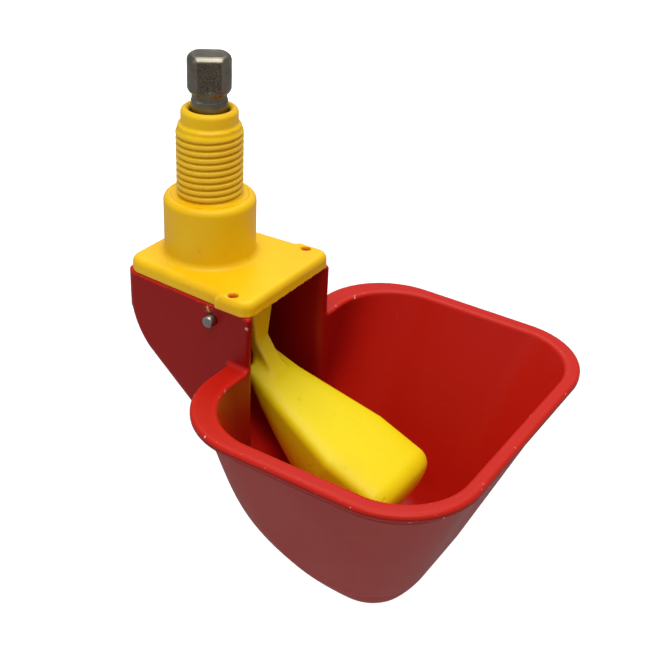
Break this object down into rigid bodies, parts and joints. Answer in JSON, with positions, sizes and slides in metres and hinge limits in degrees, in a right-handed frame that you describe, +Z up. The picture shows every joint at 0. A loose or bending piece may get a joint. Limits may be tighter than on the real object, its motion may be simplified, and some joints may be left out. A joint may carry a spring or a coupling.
{
  "type": "float valve drinking bowl",
  "caption": "Small animal drinking bowl hung from a threaded supply neck, with a hinged float that works the valve pin.",
  "frame": {"origin": "on the neck's axis, at the shoulder below the supply thread", "axes": "+Z up along the neck, +X from the neck towards the bowl; symmetric about Y = 0"},
  "size_m": [0.0853, 0.0732, 0.1017],
  "materials": {
    "bowl": "semi-gloss moulded, lightly scuffed",
    "valve_body": "semi-gloss moulded",
    "hinge_pin": "satin",
    "float": "smooth satin",
    "valve_pin": "dull, mottled flats",
    "valve_seal": "matte"
  },
  "bodies": {
    "fixed": {"drinking_bowl": "bowl", "valve_body": "valve_body", "hinge_pin": "hinge_pin"},
    "float": {"float": "float"},
    "valve_pin": {"valve_pin": "valve_pin", "valve_seal": "valve_seal"}
  },
  "joints": [
    {"name": "float_hinge", "type": "hinge", "parent": "fixed", "child": "float", "pos_m": [0.01094, 0, -0.0188], "axis": [0, -1, 0], "range_deg": [0, 15.2]},
    {"name": "valve_pin_slide", "type": "slide", "parent": "fixed", "child": "valve_pin", "axis": [0, 0, 1], "range_m": [-0.0029, 0]}
  ],
  "couplings": [
    {"joint": "valve_pin_slide", "follows": "float_hinge", "m_per_rad": -0.01092}
  ]
}
